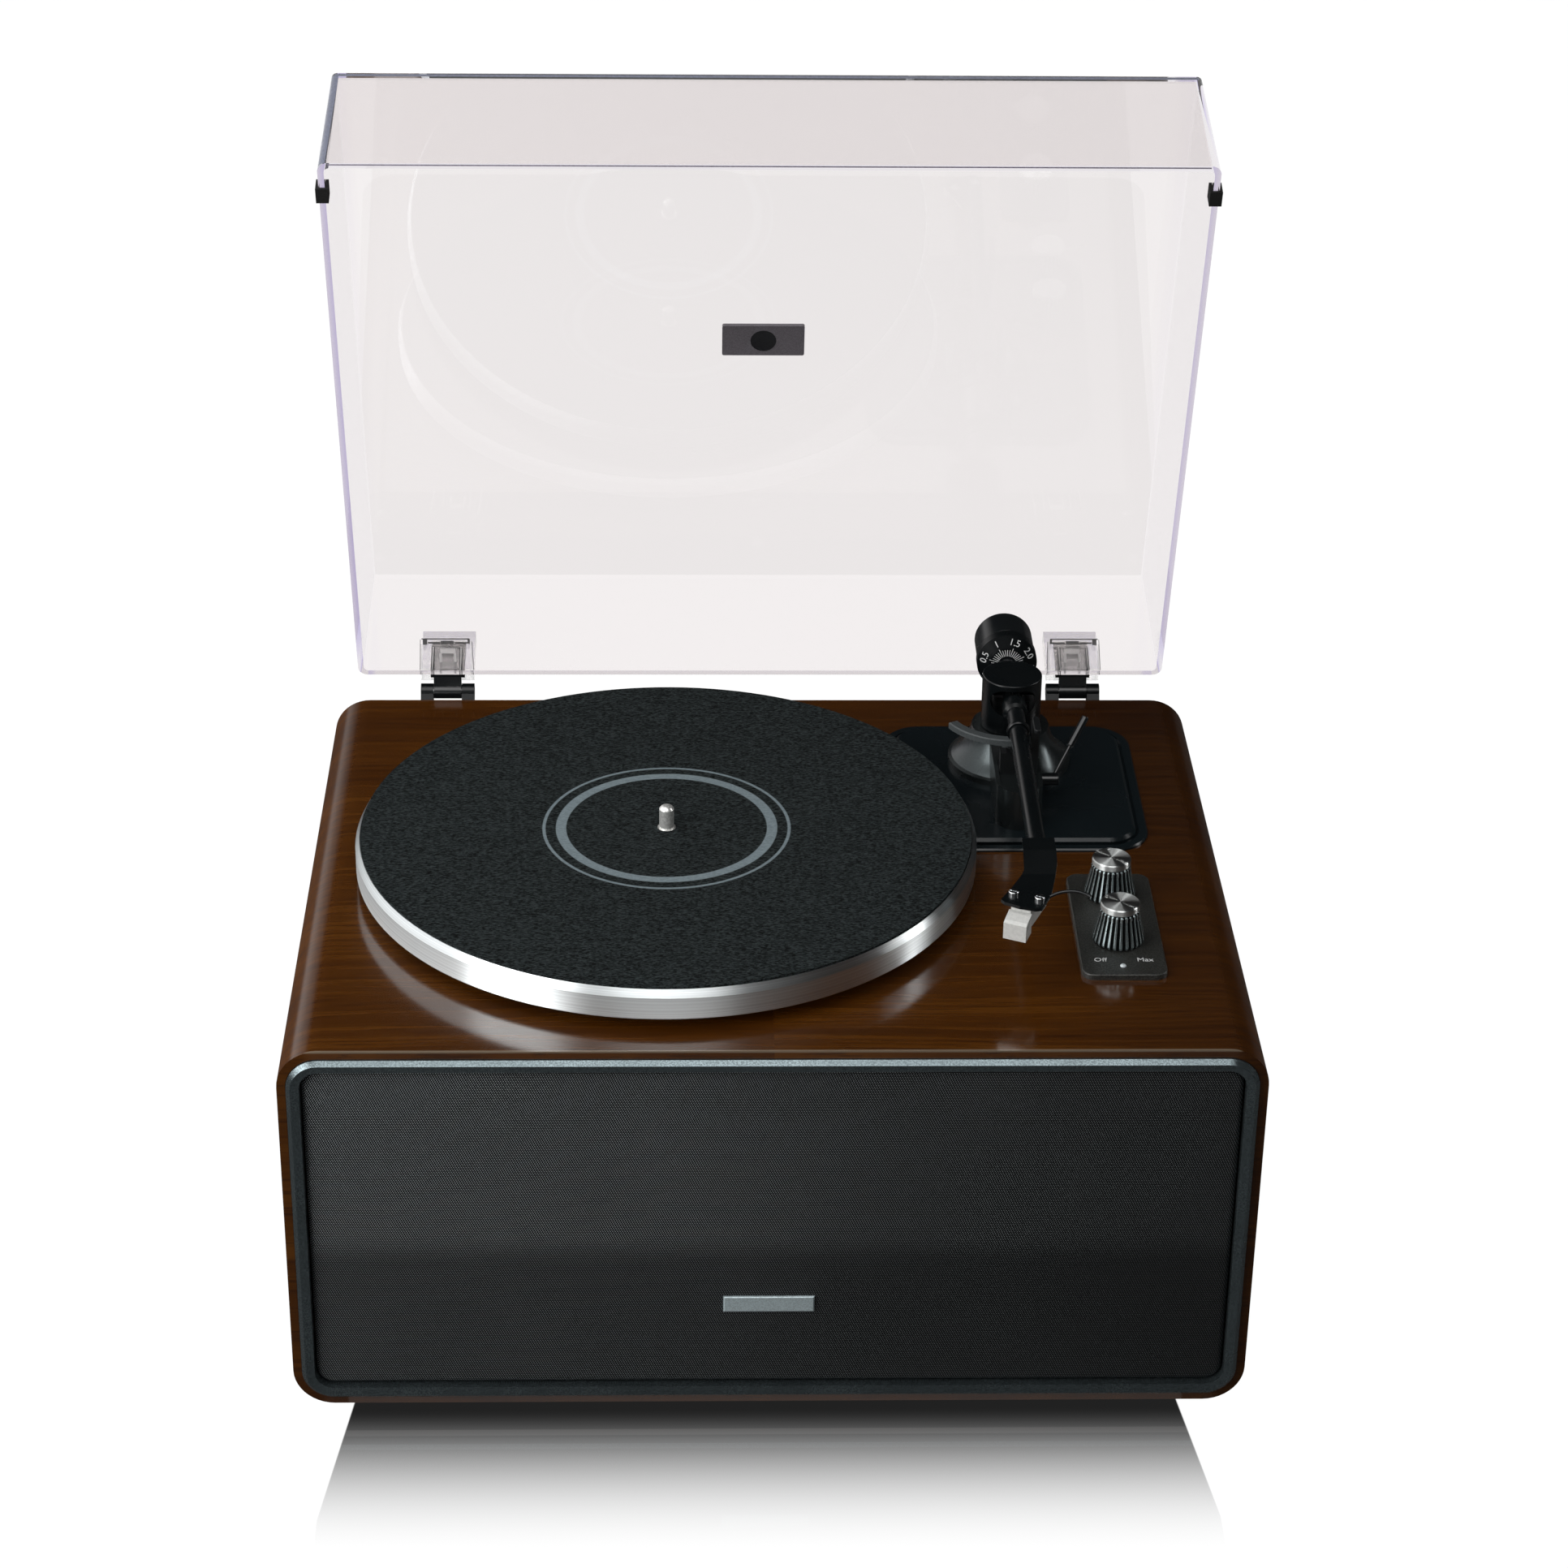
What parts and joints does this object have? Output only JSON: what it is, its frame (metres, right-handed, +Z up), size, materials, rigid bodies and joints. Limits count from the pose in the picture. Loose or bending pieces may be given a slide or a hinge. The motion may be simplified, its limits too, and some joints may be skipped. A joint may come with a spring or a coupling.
{
  "type": "turntable record player",
  "caption": "Belt-drive turntable on a veneered wooden cabinet with a cloth speaker front, straight tonearm, two control knobs and a hinged clear cover standing open",
  "frame": {"origin": "centre of the bounding box footprint with the cover open, on the plane the feet stand on", "axes": "+Z up, +X to the right seen from the front, -Y towards the speaker front, +Y towards the sockets and cover hinges"},
  "size_m": [0.448, 0.4246, 0.5491],
  "materials": {
    "walnut": "satin walnut veneer",
    "bezel_metal": "dark grey metallic paint, satin",
    "grille_cloth": "fine woven cloth",
    "mdf": "dark board",
    "black_plastic": "matt black",
    "black_gloss": "gloss black",
    "black_metal": "satin black paint",
    "textured_black": "fine wrinkle black",
    "aluminium": "brushed and polished",
    "spun_aluminium": "spun",
    "steel": "bright plated",
    "plain_steel": "turned",
    "felt": "wool felt",
    "rubber": "matt",
    "clear_acrylic": "clear, faintly grey",
    "board_green": "circuit board",
    "paper_cone": "pressed cone",
    "cream_plastic": "cream, smooth",
    "grey_plastic": "grey",
    "brass": "plated"
  },
  "bodies": {
    "cabinet_body": {"cabinet_shell": "walnut", "front_bezel": "bezel_metal", "grille_frame": "black_plastic", "grille_cloth": "grille_cloth", "grille_badge": "spun_aluminium", "baffle_board": "mdf", "woofer_baskets": "black_metal", "woofer_cones": "paper_cone", "woofer_magnets": "plain_steel", "tweeters": "black_plastic", "rear_panel": "mdf", "bass_port": "black_plastic", "terminal_plate": "black_plastic", "rca_sockets": "brass", "aux_socket": "black_plastic", "dc_socket": "black_plastic", "cabinet_feet": "rubber", "cabinet_screws": "plain_steel", "tonearm_plate": "black_metal", "control_plate": "textured_black", "indicator_lens": "clear_acrylic", "bearing_housing": "plain_steel", "motor": "plain_steel", "drive_belt": "rubber", "main_board": "board_green", "volume_control": "plain_steel", "selector_switch": "plain_steel", "tonearm_base": "black_metal", "arm_rest": "black_plastic", "hinge_brackets": "black_metal", "hinge_pins": "plain_steel"},
    "platter_body": {"platter": "aluminium", "spindle": "steel", "slipmat": "felt"},
    "pulley_body": {"motor_pulley": "brass"},
    "volume_body": {"volume_shaft": "plain_steel", "volume_knob": "black_plastic", "volume_knob_cap": "spun_aluminium"},
    "selector_body": {"selector_shaft": "plain_steel", "selector_knob": "black_plastic", "selector_knob_cap": "spun_aluminium"},
    "turret_body": {"arm_turret": "black_metal"},
    "arm_body": {"arm_hub": "black_metal", "arm_tube": "black_metal", "headshell": "black_metal", "finger_lift": "black_metal", "headshell_screws": "steel", "cartridge": "cream_plastic", "stylus": "cream_plastic"},
    "weight_body": {"counterweight": "black_gloss"},
    "dial_body": {"counterweight_dial": "black_plastic"},
    "platform_body": {"lift_platform": "grey_plastic"},
    "cue_body": {"cue_lever": "black_metal"},
    "lock_body": {"arm_rest_lock": "black_plastic"},
    "rocker_body": {"power_rocker": "black_gloss"},
    "cover_body": {"dust_cover": "clear_acrylic", "lid_bumpers": "rubber", "lid_badge": "black_gloss", "hinge_sockets": "clear_acrylic", "hinge_leaves": "black_metal"}
  },
  "joints": [
    {"name": "platter_spin", "type": "hinge", "parent": "cabinet_body", "child": "platter_body", "pos_m": [-0.049, -0.04272, 0.204], "axis": [0, 0, 1], "continuous": true},
    {"name": "motor_spin", "type": "hinge", "parent": "cabinet_body", "child": "pulley_body", "pos_m": [-0.13527, 0.04355, 0.204], "axis": [0, 0, 1], "continuous": true},
    {"name": "volume_turn", "type": "hinge", "parent": "cabinet_body", "child": "volume_body", "pos_m": [0.1635, -0.11732, 0.204], "axis": [0, 0, 1], "range_deg": [-206, 88]},
    {"name": "selector_turn", "type": "hinge", "parent": "cabinet_body", "child": "selector_body", "pos_m": [0.1635, -0.07532, 0.204], "axis": [0, 0, 1], "range_deg": [-60, 60]},
    {"name": "power_switch", "type": "hinge", "parent": "cabinet_body", "child": "rocker_body", "pos_m": [0.032, 0.13393, 0.094], "axis": [-1, 0, 0], "range_deg": [0, 16]},
    {"name": "tonearm_swing", "type": "hinge", "parent": "cabinet_body", "child": "turret_body", "pos_m": [0.125, 0.05968, 0.247], "axis": [0, 0, 1], "range_deg": [-44, 0]},
    {"name": "tonearm_lift", "type": "hinge", "parent": "turret_body", "child": "arm_body", "pos_m": [0.125, 0.05968, 0.247], "axis": [-1, 0, 0], "range_deg": [-1, 4.5]},
    {"name": "counterweight_turn", "type": "hinge", "parent": "arm_body", "child": "weight_body", "pos_m": [0.125, 0.10968, 0.247], "axis": [0, 1, 0], "continuous": true},
    {"name": "dial_turn", "type": "hinge", "parent": "weight_body", "child": "dial_body", "pos_m": [0.125, 0.09368, 0.247], "axis": [0, 1, 0], "continuous": true},
    {"name": "cue_lever_turn", "type": "hinge", "parent": "cabinet_body", "child": "cue_body", "pos_m": [0.142, 0.02368, 0.216], "axis": [1, 0, 0], "range_deg": [0, 30]},
    {"name": "cue_platform_slide", "type": "slide", "parent": "cabinet_body", "child": "platform_body", "axis": [0, 0, 1], "range_m": [0, 0.0024]},
    {"name": "arm_lock_turn", "type": "hinge", "parent": "cabinet_body", "child": "lock_body", "pos_m": [0.1328, 0.00968, 0.256], "axis": [0, 0, -1], "range_deg": [0, 90]},
    {"name": "cover_hinge", "type": "hinge", "parent": "cabinet_body", "child": "cover_body", "pos_m": [0, 0.14118, 0.205], "axis": [1, 0, 0], "range_deg": [0, 73.5]}
  ],
  "couplings": [
    {"joint": "motor_spin", "follows": "platter_spin", "ratio": 16.667},
    {"joint": "cue_lever_turn", "follows": "cue_platform_slide", "rad_per_m": 218.17}
  ]
}
